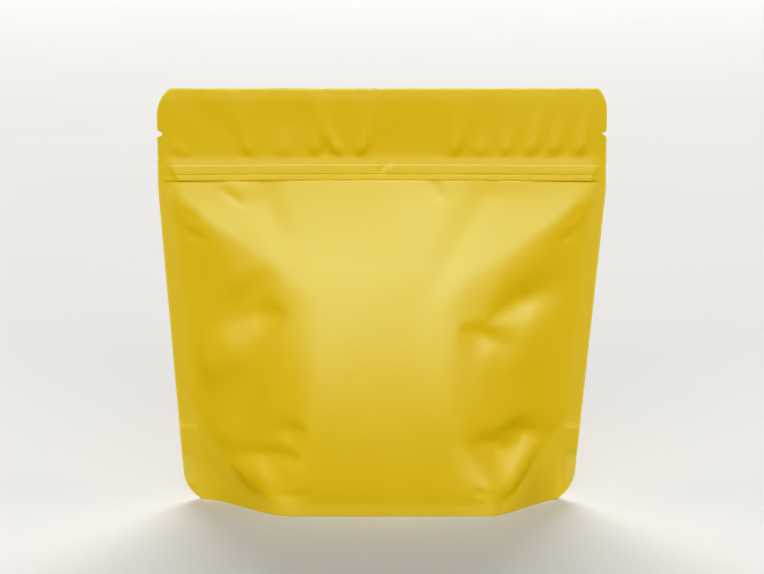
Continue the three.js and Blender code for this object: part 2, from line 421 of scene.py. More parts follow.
@dataclass(frozen=True)
class Cheek:
    """Flat flank of a filled panel, which climbs from the side seal to the belly.

    Attributes:
        seal: Width of the side seal.
        foot_zone: Heights over which the looser form of the foot ends.
        head_zone: Heights over which the tighter form under the closing band starts.
        slope: Slope of the cheek.
        foot_slope: Slope added at the foot.
        foot_slope_zone: Heights over which that slope is lost.
        head_slope: Slope added under the closing band.
        rounding: Size of the round part where the cheek leaves the seal.
        foot_rounding: Rounding added at the foot.
        head_rounding: Rounding taken away under the closing band.
        foot_inset: Width added to the seal at the foot.
        head_reach: Width taken from the seal under the closing band.
        head_reach_zone: Heights over which that width is taken.
        ridge: Rounding between cheek and belly.
        ridge_loss: Rounding lost there towards the closing band.
        ridge_zone: Heights over which it is lost.
    """

    seal: float = 7.0
    foot_zone: Span = (20.0, 100.0)
    head_zone: Span = (110.0, 142.0)
    slope: float = 0.42
    foot_slope: float = 0.38
    foot_slope_zone: Span = (-5.0, 105.0)
    head_slope: float = 0.07
    rounding: float = 2.2
    foot_rounding: float = 1.8
    head_rounding: float = 1.4
    foot_inset: float = 1.5
    head_reach: float = 3.0
    head_reach_zone: Span = (120.0, 143.0)
    ridge: float = 8.5
    ridge_loss: float = 6.1
    ridge_zone: Span = (86.0, 138.0)

    def head(self, z: Array) -> Array:
        """Share of the form under the closing band at each height."""
        return smooth_step(*self.head_zone, z)

    def depth(self, from_edge: Array, z: Array) -> Array:
        """Depth of the cheek.

        Args:
            from_edge: Distances from the straight side edge.
            z: Heights on the film.

        Returns:
            Depth from the middle plane.
        """
        foot = 1.0 - smooth_step(*self.foot_zone, z)
        head = self.head(z)
        foot_slope = self.foot_slope * (1.0 - smooth_step(*self.foot_slope_zone, z))
        slope = self.slope + foot_slope + self.head_slope * head
        start = self.rounding + self.foot_rounding * foot - self.head_rounding * head
        reach = self.head_reach * smooth_step(*self.head_reach_zone, z)
        inset = self.seal + self.foot_inset * foot - reach
        return slope * soft_plus(from_edge - inset, start)

    def ridge_rounding(self, z: Array) -> Array:
        """Rounding between cheek and belly at each height."""
        return self.ridge - self.ridge_loss * smooth_step(*self.ridge_zone, z)


@dataclass(frozen=True)
class SealRise:
    """Rise of the bottom seal towards one side seal.

    Attributes:
        start: Distance from the middle of the film at which the rise starts.
        slope: Rise for each millimetre outwards.
        rounding: Size of the round part at its start.
    """

    start: float
    slope: float
    rounding: float

    def amount(self, outward: Array) -> Array:
        """Rise at each distance from the middle of the film."""
        return self.slope * soft_plus(outward - self.start, self.rounding)


@dataclass(frozen=True)
class Valley:
    """Valley along the upper edge of the bottom seal, deeper at the corners of the base.

    Attributes:
        drop: Depth of the valley in the middle.
        corner_drop: Depth added at the corners of the base.
        corner_place: Distance of those corners from the middle line.
        corner_half: Half width of a corner.
        left_web: Depth added where the film webs over the left lower corner.
        right_web: Depth added where it webs over the right one.
        web_start: Distances from the middle line over which the webs start.
        web_end: Distances over which they end.
        floor: Rounding of the bottom of the valley.
        reach: Height over the seal in which most of the valley lies.
        fade_power: How abruptly it ends there.
    """

    drop: float = 0.3
    corner_drop: float = 0.6
    corner_place: float = 44.0
    corner_half: float = 7.0
    left_web: float = 0.4
    right_web: float = 1.2
    web_start: Span = (48.0, 60.0)
    web_end: Span = (66.0, 84.0)
    floor: float = 1.0
    reach: float = 3.0
    fade_power: float = 1.3

    def amount(self, off: Array, z: Array, seal: Array) -> Array:
        """How far the film goes in at each place.

        Args:
            off: Places across the film, from the panel's middle line.
            z: Heights on the film.
            seal: Heights of the seal's upper edge.

        Returns:
            Depth of the valley under the plain panel.
        """
        away = np.abs(off)
        web = smooth_step(*self.web_start, away) * (1.0 - smooth_step(*self.web_end, away))
        corner = self.corner_drop * bell(away - self.corner_place, self.corner_half)
        drop = self.drop + corner + np.where(off < 0.0, self.left_web, self.right_web) * web
        above = np.hypot(np.maximum(z - seal, 0.0), self.floor) - self.floor
        fade = np.exp(-((above / self.reach) ** self.fade_power))
        return drop * np.where(z < seal, z / seal, fade)


@dataclass(frozen=True)
class Windows:
    """Punched windows of the base film, which show as marks at both side edges.

    Attributes:
        left: Distance of the left window's inner edge from the middle of the film.
        right: Distance of the right window's inner edge.
        height: Height of the middle of a window.
        half: Half height of a window.
        radius: Radius of its corners.
        blur: Width of its soft edge.
        depth: How far the film sinks into it.
    """

    left: float = 84.4
    right: float = 82.6
    height: float = 14.95
    half: float = 6.75
    radius: float = 2.2
    blur: float = 1.1
    depth: float = 0.3

    def share(self, x: Array, z: Array) -> Array:
        """Mark of the windows.

        Args:
            x: Places across the film.
            z: Heights on the film.

        Returns:
            1 inside a window and 0 outside it.
        """
        inward = np.where(x < 0.0, -self.left - x, x - self.right)
        upward = self.half - np.abs(z - self.height)
        corner = np.hypot(np.minimum(inward - self.radius, 0.0), np.minimum(upward - self.radius, 0.0))
        return 1.0 - smooth_step(self.radius - self.blur, self.radius, corner)


@dataclass(frozen=True)
class Panel:
    """One filled panel of the pouch: a belly between two cheeks, over the bottom seal.

    Depths are distances from the middle plane.

    Attributes:
        outline: Cut edge of the film.
        creases: Folds pressed into the cheeks.
        dents: Shallow hollows and swellings.
        wrinkles: Fine lines of the corner seals.
        cheek: Form of both cheeks.
        left_rise: Rise of the bottom seal on the left.
        right_rise: Rise of the bottom seal on the right.
        valley: Valley along the bottom seal.
        windows: Windows of the base film.
        middle: Place of the panel's middle line.
        bottom_seal: Height of the bottom seal in the middle.
        belly_depth: Greatest depth of the belly.
        belly_height: Height of that depth.
        belly_turn: Height at which the belly starts to close towards the band.
        lower_curve: Curve of the belly under that height.
        upper_curve: Curve of the belly over it.
        upper_slope: Slope of the belly at it.
        crown: Share of the belly's depth lost beside its middle.
        crown_half: Distance from the middle at which that share is lost.
        rim_depth: Depth of the bottom edge in the middle.
        rim_left: Places over which the bottom edge comes out on the left.
        rim_right: Places over which it goes back on the right.
        corner_drop: How far the belly falls off towards the corners under the band.
        draw_height: Height at which the cheeks draw in over the rim.
        draw_below: How far under that height they start to draw in.
        draw_above: How far over it they are drawn in.
        corner_place: Place of the corner of the base where a cheek draws in lowest.
        corner_half: Half width of that corner.
        corner_draw: How much lower the cheek draws in there.
        fold_side: Distances from a side seal over which folds start.
        fold_foot: Heights over the bottom seal over which folds start.
        doubled: Thickness that the base film adds to the side seals.
        doubled_side: Distances from a side seal over which it ends.
        doubled_top: Heights over which it ends.
    """

    outline: Outline
    creases: tuple[Crease, ...]
    dents: tuple[Dent, ...] = ()
    wrinkles: tuple[Wrinkle, ...] = ()
    cheek: Cheek = Cheek()
    left_rise: SealRise = SealRise(start=60.5, slope=1.55, rounding=3.5)
    right_rise: SealRise = SealRise(start=58.0, slope=1.28, rounding=1.5)
    valley: Valley = Valley()
    windows: Windows = Windows()
    middle: float = 1.5
    bottom_seal: float = 5.5
    belly_depth: float = 33.2
    belly_height: float = 21.0
    belly_turn: float = 110.0
    lower_curve: float = 0.0024
    upper_curve: float = 0.00225
    upper_slope: float = 0.427
    crown: float = 0.08
    crown_half: float = 60.0
    rim_depth: float = 32.0
    rim_left: Span = (-84.0, -40.0)
    rim_right: Span = (45.5, 84.0)
    corner_drop: float = 1.4
    draw_height: float = 21.0
    draw_below: float = 13.0
    draw_above: float = 15.0
    corner_place: float = 54.0
    corner_half: float = 9.0
    corner_draw: float = 8.0
    fold_side: Span = (0.0, 9.0)
    fold_foot: Span = (-1.5, 4.5)
    doubled: float = 0.4
    doubled_side: Span = (-0.5, 1.0)
    doubled_top: Span = (33.8, 35.0)

    def belly(self, z: Numbers) -> Numbers:
        """Depth of the middle of the panel: two parabolas that meet at one slope.

        Args:
            z: Heights on the film.

        Returns:
            Depth from the middle plane.
        """
        low = np.minimum(z, self.belly_turn) - self.belly_height
        up = np.maximum(z - self.belly_turn, 0.0)
        lower = self.belly_depth - self.lower_curve * low**2
        return lower - self.upper_slope * up + self.upper_curve * up**2

    def rim(self, x: Array) -> Array:
        """Depth of the bottom edge, straight in front and curving in to the side seals."""
        return self.rim_depth * smooth_step(*self.rim_left, x) * (1.0 - smooth_step(*self.rim_right, x))

    def seal_height(self, x: Array) -> Array:
        """Height of the bottom seal's upper edge, which rises to both side seals."""
        return self.bottom_seal + self.left_rise.amount(-x) + self.right_rise.amount(x)

    def draw_line(self, x: Array) -> Array:
        """Height at which the cheeks draw in over the rim, lower at one corner of the base."""
        return self.draw_height - self.corner_draw * bell(x - self.corner_place, self.corner_half)

    def plain(self, x: Array, z: Array) -> Array:
        """Depth of the filled panel before any fold.

        Args:
            x: Places across the film.
            z: Heights on the film.

        Returns:
            Depth from the middle plane.
        """
        belly = self.belly(z) * (1.0 - self.crown * ((x - self.middle) / self.crown_half) ** 2)
        belly = belly - self.corner_drop * self.cheek.head(z) * (2.0 * x / self.outline.width) ** 2
        left = self.cheek.depth(self.outline.from_left(x, z), z)
        right = self.cheek.depth(self.outline.from_right(x, z), z)
        ridge = self.cheek.ridge_rounding(z)
        filled = soft_min(soft_min(belly, left, ridge), right, ridge)
        line = self.draw_line(x)
        low = 1.0 - smooth_step(line - self.draw_below, line + self.draw_above, z)
        swell = np.maximum(self.belly(z) / self.belly(0.0), 1.0)
        return filled * (1.0 - low) + self.rim(x) * swell * low

    def from_seal(self, x: Array, z: Array) -> Array:
        """Distance of a place from the inner edge of the nearer side seal."""
        return np.minimum(self.outline.from_left(x, z), self.outline.from_right(x, z)) - self.cheek.seal

    def depth(self, x: Array, z: Array) -> Array:
        """Depth of the panel with its folds.

        Args:
            x: Places across the film.
            z: Heights on the film.

        Returns:
            Depth from the middle plane, with the fine relief of the seals.
        """
        folds = sum(fold.amount(x, z) for fold in self.creases + self.dents)
        seal = self.seal_height(x)
        share = smooth_step(*self.fold_side, self.from_seal(x, z))
        share = share * smooth_step(*self.fold_foot, z - seal)
        valley = self.valley.amount(x - self.middle, z, seal)
        return np.maximum(self.plain(x, z) - folds * share - valley, 0.0) + self.fine(x, z)

    def fine(self, x: Array, z: Array) -> Array:
        """Fine relief of the corner seals: wrinkles, the doubled film and the windows.

        Args:
            x: Places across the film.
            z: Heights on the film.

        Returns:
            Height of the relief over the plain film.
        """
        side = 1.0 - smooth_step(*self.doubled_side, self.from_seal(x, z))
        doubled = self.doubled * (1.0 - smooth_step(*self.doubled_top, z)) * side
        lines = sum(wrinkle.amount(x, z) for wrinkle in self.wrinkles)
        return doubled + lines - self.windows.depth * self.windows.share(x, z)


@dataclass(frozen=True)
class Head:
    """The closing band and the flap over it.

    Attributes:
        pleats: Soft ridges of the flap.
        swells: Broad hollows of the flap.
        nicks: Small cuts and bumps of the ribs.
        profile: Heights and reliefs of the two ribs, from the lower edge up.
        left_end: Places over which the ribs start on the left.
        left_cut: Sideways run of that end for each millimetre down.
        right_end: Places over which the ribs end on the right.
        right_cut: Sideways run of that end for each millimetre down.
        flange_top: Height of the upper edge of the strip over the ribs.
        flange_slope: Slope of that strip.
        flange_rounding: Rounding of its upper edge.
        rib_rounding: Rounding of its lower edge.
        flange_ends: Distances from the middle over which the strip ends.
        bow: How far the band rises in its middle.
        bow_half: Distance from the middle at which that rise is lost.
        lean_reach: How far the flap leans forward.
        lean_zone: Heights over the strip over which it leans.
        curl: How far the top of the flap turns back.
        curl_zone: Heights over the strip over which it turns back.
        lean_loss: Share of the lean that is lost on the right.
        lean_loss_zone: Places over which it is lost.
        swell_zone: Heights over the strip over which the hollows start.
        soft_ends: Distances from the middle over which ridges and hollows end.
    """

    pleats: tuple[Pleat, ...]
    swells: tuple[Dent, ...]
    nicks: tuple[Dent, ...]
    profile: tuple[Point, ...] = (
        (146.0, 0.55),
        (146.4, 0.80),
        (147.4, 0.67),
        (148.5, 0.50),
        (148.9, 0.34),
        (149.2, 0.62),
        (151.0, 0.43),
        (152.8, 0.16),
        (153.2, 0.0),
    )
    left_end: Span = (-95.8, -94.6)
    left_cut: float = 0.55
    right_end: Span = (96.0, 97.2)
    right_cut: float = 0.4
    flange_top: float = 157.2
    flange_slope: float = 0.19
    flange_rounding: float = 0.6
    rib_rounding: float = 0.2
    flange_ends: Span = (92.0, 99.5)
    bow: float = 0.5
    bow_half: float = 95.0
    lean_reach: float = 3.2
    lean_zone: Span = (-6.0, 34.0)
    curl: float = 0.5
    curl_zone: Span = (25.0, 31.0)
    lean_loss: float = 0.5
    lean_loss_zone: Span = (5.0, 85.0)
    swell_zone: Span = (0.0, 6.0)
    soft_ends: Span = (90.0, 98.0)

    @property
    def band_low(self) -> float:
        """Height of the band's lower edge."""
        return self.profile[0][0]

    @property
    def rib_top(self) -> float:
        """Height of the upper rib's upper edge."""
        return self.profile[-1][0]

    def level(self, x: Array, z: Array) -> Array:
        """Heights over the bowed band, as if it ran straight."""
        return z - self.bow * (1.0 - (x / self.bow_half) ** 2)

    def relief(self, x: Array, z: Array) -> Array:
        """Relief of the closing band on the film.

        Args:
            x: Places across the film.
            z: Heights on the film.

        Returns:
            Height of the relief over the flat film.
        """
        z = self.level(x, z)
        down = np.maximum(self.rib_top - z, 0.0)
        upper = soft_plus(self.flange_top - z, self.flange_rounding)
        lower = soft_plus(self.rib_top - z, self.rib_rounding)
        strip = self.flange_slope * (upper - lower) * within(self.flange_ends, x)
        left = smooth_step(*self.left_end, x - self.left_cut * down)
        right = 1.0 - smooth_step(*self.right_end, x + self.right_cut * down)
        heights, reliefs = zip(*self.profile)
        nicks = sum(nick.amount(x, z) for nick in self.nicks)
        return strip + left * right * (np.interp(z, heights, reliefs) - nicks)

    def lean(self, x: Array, z: Array) -> Array:
        """How far the flap stands forward of the middle plane.

        Args:
            x: Places across the film.
            z: Heights on the film.

        Returns:
            Distance by which both faces of the flap move to the front.
        """
        up = z - self.flange_top
        forward = self.lean_reach * smooth_step(*self.lean_zone, up)
        back = self.curl * smooth_step(*self.curl_zone, up)
        lean = (forward - back) * (1.0 - self.lean_loss * smooth_step(*self.lean_loss_zone, x))
        ridges = sum(pleat.amount(x, up) for pleat in self.pleats)
        hollows = sum(swell.amount(x, z) for swell in self.swells) * smooth_step(*self.swell_zone, up)
        return lean + (ridges - hollows) * within(self.soft_ends, x)


class Skin:
    """Points and faces of one closed mesh, gathered block by block, with a flat map of each block."""

    def __init__(self) -> None:
        """Start with no points."""
        self.points: list[Array] = []
        self.faces: list[Array] = []
        self.charts: list[Array] = []
        self.count = 0

    def add_points(self, x: Array, y: Array, z: Array) -> Array:
        """Add a grid of points.

        Args:
            x: Places across the film.
            y: Places from front to back.
            z: Heights.

        Returns:
            Number of each point, in the grid's own form.
        """
        grid = np.stack(np.broadcast_arrays(x, y, z), axis=-1)
        numbers = np.arange(grid.shape[0] * grid.shape[1]).reshape(grid.shape[:2]) + self.count
        self.points.append(grid.reshape(-1, 3))
        self.count += numbers.size
        return numbers

    def add_block(self, numbers: Array, chart: Array) -> None:
        """Add the faces between the points of a grid.

        Args:
            numbers: Point numbers in rows and columns, so that the outside sees the columns run to the
                right and the rows run up.
            chart: Place of each point on the flat map.
        """
        for store, grid in ((self.faces, numbers), (self.charts, chart)):
            corners = (grid[:-1, :-1], grid[:-1, 1:], grid[1:, 1:], grid[1:, :-1])
            quads = np.stack(corners, axis=2)
            store.append(quads.reshape(-1, 4, *grid.shape[2:]))

    def mesh(self, name: str) -> bpy.types.Mesh:
        """Make the mesh in metres, with its flat map.

        Args:
            name: Name of the mesh.

        Returns:
            The smooth mesh.
        """
        mesh = bpy.data.meshes.new(name)
        points = np.concatenate(self.points) * MM
        mesh.from_pydata(points.tolist(), [], np.concatenate(self.faces).tolist())
        chart = mesh.uv_layers.new(name="OFBake")
        chart.data.foreach_set("uv", np.concatenate(self.charts).astype(np.float32).ravel())
        mesh.shade_smooth()
        mesh.update()
        return mesh


@dataclass(frozen=True)
class Base:
    """Underside of the pouch: the foot of the rim, a groove inside it, then film flat on the floor.

    Attributes:
        skirt: Thickness of the film at the bottom edge.
        skirt_share: Greatest share of the rim's depth that it takes.
        foot: Width of the rim that stands on the floor.
        foot_share: Greatest share of the rim's depth that it takes.
        groove_top: Greatest height of the groove.
        groove_width: Width over which the groove falls to the floor.
        groove_zone: Depths of the rim over which the groove starts.
        fold: Height of the fold line in the middle.
        fold_half: Half width of that line.
        fold_zone: Depths of the rim over which the line starts.
        spacing: Shares of the way from the foot to the middle at which the rows lie.
    """

    skirt: float = 0.6
    skirt_share: float = 0.15
    foot: float = 1.0
    foot_share: float = 0.25
    groove_top: float = 10.0
    groove_width: float = 14.0
    groove_zone: Span = (4.0, 9.0)
    fold: float = 0.5
    fold_half: float = 0.8
    fold_zone: Span = (8.0, 16.0)
    spacing: tuple[float, ...] = (
        *(0.03, 0.07, 0.12, 0.18, 0.25, 0.33),
        *(0.42, 0.52, 0.62, 0.72, 0.82, 0.91, 0.97),
    )

    def skirt_width(self, depth: Array) -> Array:
        """Thickness of the film at the bottom edge, less where the rim is shallow."""
        return np.minimum(self.skirt, self.skirt_share * depth)

    def foot_width(self, depth: Array) -> Array:
        """Width of the rim's foot, less where the rim is shallow."""
        return np.minimum(self.foot, self.foot_share * depth)

    def height(self, seal: Array, depth: Array, from_rim: Array) -> Array:
        """Height of the underside.

        Args:
            seal: Heights of the bottom seal.
            depth: Depths of the rim.
            from_rim: Distances from the rim.

        Returns:
            Heights over the floor.
        """
        beyond = from_rim - self.foot_width(depth)
        groove = np.minimum(seal, self.groove_top) * smooth_step(*self.groove_zone, depth)
        fall = 1.0 - smooth_step(0.0, self.groove_width, beyond)
        fold = self.fold * smooth_step(*self.fold_zone, depth) * bell(depth - from_rim, self.fold_half)
        return np.where(beyond < 0.0, 0.0, groove * fall + fold)


@dataclass(frozen=True)
class Grid:
    """Rows and columns of the film's mesh.

    Attributes:
        step: Spacing of rows and columns away from the details.
        edge_zone: Width beside a side edge in which the columns follow its cut.
        edge_columns: Distances of those columns from the side edge.
        edge_rows: Distances of the outermost rows from the bottom and the top edge.
        panel_rows: Heights of the first and the last row of the filled panels.
        band_rows: Heights of the first and the last row of the closing band.
        band_count: Number of rows of the closing band.
        notch_count: Number of rows in a tear notch.
        notch_share: Share of the notch's mouth that they take up.
        notch_gap: Gap between the notch and the rows beside it.
        notch_room: Room between the notch and the other rows of the flap.
        flap_low: Height of the flap's first row.
        flap_room: Room between its last row and the top edge.
    """

    step: float = 1.15
    edge_zone: float = 12.0
    edge_columns: tuple[float, ...] = (
        *(0.0, 0.2, 0.45, 0.9, 1.5, 2.2, 3.0, 3.8),
        *(4.6, 5.4, 6.2, 7.0, 7.8, 8.8, 9.8, 10.9),
    )
    edge_rows: tuple[float, ...] = (0.0, 0.2, 0.45)
    panel_rows: Span = (0.9, 145.0)
    band_rows: Span = (145.3, 159.2)
    band_count: int = 54
    notch_count: int = 13
    notch_share: float = 0.999
    notch_gap: float = 0.02
    notch_room: float = 0.3
    flap_low: float = 160.2
    flap_room: float = 0.8

    def levels(self, outline: Outline) -> Array:
        """Heights of the rows, close together at the closing band, the notches and the cut edges.

        Args:
            outline: Cut edge of the film.

        Returns:
            Heights from the bottom up.
        """
        notch = outline.notch_height
        half = outline.notch_half
        low, high = self.panel_rows
        panel = np.linspace(low, high, round((high - low) / self.step))
        band = np.linspace(*self.band_rows, self.band_count)
        angles = np.radians(np.linspace(-90.0, 90.0, self.notch_count))
        slot = notch + half * self.notch_share * np.sin(angles)
        beside = np.array((notch - half - self.notch_gap, notch + half + self.notch_gap))
        flap = np.arange(self.flap_low, outline.height - self.flap_room, self.step)
        flap = flap[np.abs(flap - notch) > half + self.notch_room]
        edge = np.array(self.edge_rows)
        return np.sort(np.concatenate((panel, band, slot, beside, flap, edge, outline.height - edge)))

    def columns(self, outline: Outline, levels: Array) -> Array:
        """Places of the columns in every row, which follow the cut edge near it.

        Args:
            outline: Cut edge of the film.
            levels: Heights of the rows.

        Returns:
            Places across the film in rows and columns.
        """
        steps = np.array(self.edge_columns)[None, :] / self.edge_zone
        left = -outline.reach(levels, outline.foot_left)[:, None] + self.edge_zone
        right = outline.reach(levels, outline.foot_right)[:, None] - self.edge_zone
        left_cut = outline.left_edge(levels)[:, None]
        right_cut = outline.right_edge(levels)[:, None]
        count = round((outline.width - 2.0 * self.edge_zone) / self.step)
        inner = left + (right - left) * np.linspace(0.0, 1.0, count)[None, :]
        outer_left = left_cut + (left - left_cut) * steps
        outer_right = right_cut + (right - right_cut) * steps[:, ::-1]
        return np.concatenate((outer_left, inner, outer_right), axis=1)


@dataclass
class Pouch:
    """The whole bag of film: two filled panels with fins, flap and closing band, and the underside.

    Attributes:
        outline: Cut edge of the film.
        front: Front panel.
        back: Back panel.
        head: Closing band and flap.
        base: Underside.
        grid: Rows and columns of the mesh.
        film_half: Half thickness of the sealed film.
        edge_half: Half thickness at the cut edge.
        bead_zone: Distances from the cut over which the film gains its thickness.
        band_join: Heights over the band's lower edge over which the panel gives way to it.
        edge_highlight_mark: Distances from the cut over which the mark of the painted edge highlight
            ends.
        seal_mark: Distances from a seal over which the mark of the seal ends.
        seal_mark_top: Heights over the band's lower edge over which it ends.
        map_scale: Size of a millimetre on the flat map.
        map_strip: Width of a cut edge on the flat map, in millimetres.
        map_shrink: Share to which the length of a cut edge shrinks there.
        skin: Points and faces of the mesh.
    """

    outline: Outline
    front: Panel
    back: Panel
    head: Head
    base: Base = Base()
    grid: Grid = Grid()
    film_half: float = 0.3
    edge_half: float = 0.14
    bead_zone: Span = (-0.05, 0.5)
    band_join: Span = (-0.5, 0.4)
    edge_highlight_mark: Span = (0.15, 0.75)
    seal_mark: Span = (-0.6, 0.6)
    seal_mark_top: Span = (-5.0, 4.0)
    map_scale: float = 0.00258
    map_strip: float = 3.0
    map_shrink: float = 0.9
    skin: Skin = field(default_factory=Skin)

    def from_cut(self, x: Array, z: Array) -> Array:
        """Distance of a place from the nearest cut edge.

        Args:
            x: Places across the film, whole rows from edge to edge.
            z: Heights on the film.

        Returns:
            The distance at each place.
        """
        sides = np.minimum(x - x[:, :1], x[:, -1:] - x)
        ends = np.minimum(z, self.outline.height - z)
        return np.minimum(sides, ends)

    def face(self, panel: Panel, x: Array, z: Array) -> Array:
        """Distance of one face of the film from the film's own middle.

        Args:
            panel: Panel that the face belongs to.
            x: Places across the film.
            z: Heights on the film.

        Returns:
            Depth of the film with its thickness.
        """
        over = smooth_step(*self.band_join, self.head.level(x, z) - self.head.band_low)
        filled = panel.depth(x, z) * (1.0 - over) + self.head.relief(x, z) * over
        bead = smooth_step(*self.bead_zone, self.from_cut(x, z))
        return filled + self.edge_half + (self.film_half - self.edge_half) * bead

    def chart(self, place: Chart, across: Array, up: Array) -> Array:
        """Flat map of a block.

        Args:
            place: Where the block lies on the map.
            across: Lengths across the block.
            up: Lengths up the block.

        Returns:
            Place of each point on the map.
        """
        flat = np.stack(np.broadcast_arrays(across, up), axis=-1)
        return np.array(place.value) + (flat - flat.min(axis=(0, 1))) * self.map_scale

    def add_panels(self) -> tuple[Array, Array, Array]:
        """Add both panels with the side and top edges between them.

        Returns:
            Places of the bottom row, and the point numbers of the front's and the back's bottom rows.
        """
        levels = self.grid.levels(self.outline)
        x = self.grid.columns(self.outline, levels)
        z = np.broadcast_to(levels[:, None], x.shape)
        lean = self.head.lean(x, z)
        front = self.skin.add_points(x, -self.face(self.front, x, z) - lean, z)
        back = self.skin.add_points(x, self.face(self.back, x, z) - lean, z)
        self.skin.add_block(front, self.chart(Chart.FRONT, x, z))
        self.skin.add_block(back[:, ::-1], self.chart(Chart.BACK, -x[:, ::-1], z))
        strip = np.array((0.0, self.map_strip))[:, None]
        run = self.map_shrink * levels[None, :]
        left = np.stack((front[:, 0], back[:, 0]))
        right = np.stack((back[:, -1], front[:, -1]))
        top = np.stack((front[-1], back[-1]))
        self.skin.add_block(left, self.chart(Chart.LEFT_EDGE, run, strip))
        self.skin.add_block(right, self.chart(Chart.RIGHT_EDGE, run, strip))
        self.skin.add_block(top, self.chart(Chart.TOP_EDGE, self.map_shrink * x[-1:], strip))
        return x[0], front[0], back[0]

    def add_underside(self, x: Array, front: Array, back: Array) -> None:
        """Add the base between the two bottom rows.

        Args:
            x: Places of the bottom rows.
            front: Point numbers of the front's bottom row.
            back: Point numbers of the back's bottom row.
        """
        line = np.zeros((1, x.size))
        depth = self.face(self.front, x[None, :], line)[0]
        seal = self.front.seal_height(x)
        skirt = self.base.skirt_width(depth)
        foot = self.base.foot_width(depth)
        spread = foot + (depth - foot) * np.array(self.base.spacing)[:, None]
        rows = np.concatenate((skirt[None, :], foot[None, :], spread))
        height = self.base.height(seal, depth, rows)
        across = np.broadcast_to(x, rows.shape)
        inner = depth - rows
        halves = []
        for panel, sign in ((self.front, -1.0), (self.back, 1.0)):
            room = panel.depth(across, height) + self.film_half - skirt
            inside = np.minimum(inner, np.maximum(room, 0.0))
            halves.append(self.skin.add_points(across, sign * inside, height))
        front_half, back_half = halves
        middle = self.skin.add_points(x, line, self.base.height(seal, depth, depth))
        numbers = np.concatenate((back[None, :], back_half, middle, front_half[::-1], front[None, :]))
        lengths = np.concatenate((-depth[None, :], -inner, line, inner[::-1], depth[None, :]))
        self.skin.add_block(numbers, self.chart(Chart.UNDERSIDE, x[None, :], lengths))

    def mark(self, mesh: bpy.types.Mesh) -> None:
        """Write on the mesh where it is cut edge, sealed film and window.

        Args:
            mesh: Mesh of the film.
        """
        points = np.concatenate(self.skin.points)
        x, z = points[:, 0], points[:, 2]
        left = x - self.outline.left_edge(z)
        right = self.outline.right_edge(z) - x
        ends = np.minimum(z, self.outline.height - z)
        cut = np.minimum(np.minimum(left, right), ends)
        filled = np.minimum(self.front.from_seal(x, z), z - self.front.seal_height(x))
        under = 1.0 - smooth_step(*self.seal_mark_top, z - self.head.band_low)
        marks = {
            # Band along the cut edge, where the highlight is painted
            Mask.EDGE_HIGHLIGHT: 1.0 - smooth_step(*self.edge_highlight_mark, cut),
            Mask.SEAL: under * (1.0 - smooth_step(*self.seal_mark, filled)),
            Mask.WINDOW: self.front.windows.share(x, z),
        }
        for mask, values in marks.items():
            layer = mesh.attributes.new(mask.value, "FLOAT", "POINT")
            layer.data.foreach_set("value", values.astype(np.float32))

    def build(self, finish: "FilmFinish") -> bpy.types.Object:
        """Make the pouch and give it its finish.

        Args:
            finish: Finish of the film.

        Returns:
            The pouch.
        """
        x, front, back = self.add_panels()
        self.add_underside(x, front, back)
        mesh = self.skin.mesh("pouch_film")
        self.mark(mesh)
        mesh.materials.append(finish.material())
        pouch = bpy.data.objects.new("pouch_film", mesh)
        bpy.context.scene.collection.objects.link(pouch)
        return pouch


@dataclass(frozen=True)
class Pattern:
    """A soft irregular pattern of a surface.

    Attributes:
        scale: Number of lumps to a metre.
        detail: Number of finer layers.
        rough: Strength of those layers.
    """

    scale: float
    detail: float
    rough: float


class Value:
    """A shader socket that is reckoned with like a number."""

    def __init__(self, shader: "Shader", socket: Union[bpy.types.NodeSocket, None]) -> None:
        """Keep the socket and the shader it belongs to."""
        self.shader = shader
        self.socket = socket

    def math(self, operation: str, *others: Union["Value", float], swap: bool = False) -> "Value":
        """Add a node that reckons with this value.

        Args:
            operation: Kind of sum.
            others: The other values of the sum.
            swap: Whether this value comes second.

        Returns:
            Result of the sum.
        """
        terms = [self, *others]
        if swap:
            terms.reverse()
        inputs = {number: term for number, term in enumerate(terms)}
        return self.shader.node("ShaderNodeMath", {"operation": operation}, inputs)

    def __add__(self, other: Union["Value", float]) -> "Value":
        """Sum of the two."""
        return self.math("ADD", other)

    def __radd__(self, other: float) -> "Value":
        """Sum of the two."""
        return self.math("ADD", other, swap=True)

    def __sub__(self, other: Union["Value", float]) -> "Value":
        """This less the other."""
        return self.math("SUBTRACT", other)

    def __rsub__(self, other: float) -> "Value":
        """The other less this."""
        return self.math("SUBTRACT", other, swap=True)

    def __mul__(self, other: Union["Value", float]) -> "Value":
        """Product of the two."""
        return self.math("MULTIPLY", other)

    def __rmul__(self, other: float) -> "Value":
        """Product of the two."""
        return self.math("MULTIPLY", other, swap=True)

    def clamped(self) -> "Value":
        """This value kept between 0 and 1."""
        return self.math("MINIMUM", 1.0).math("MAXIMUM", 0.0)


Input = Union[Value, float, tuple]


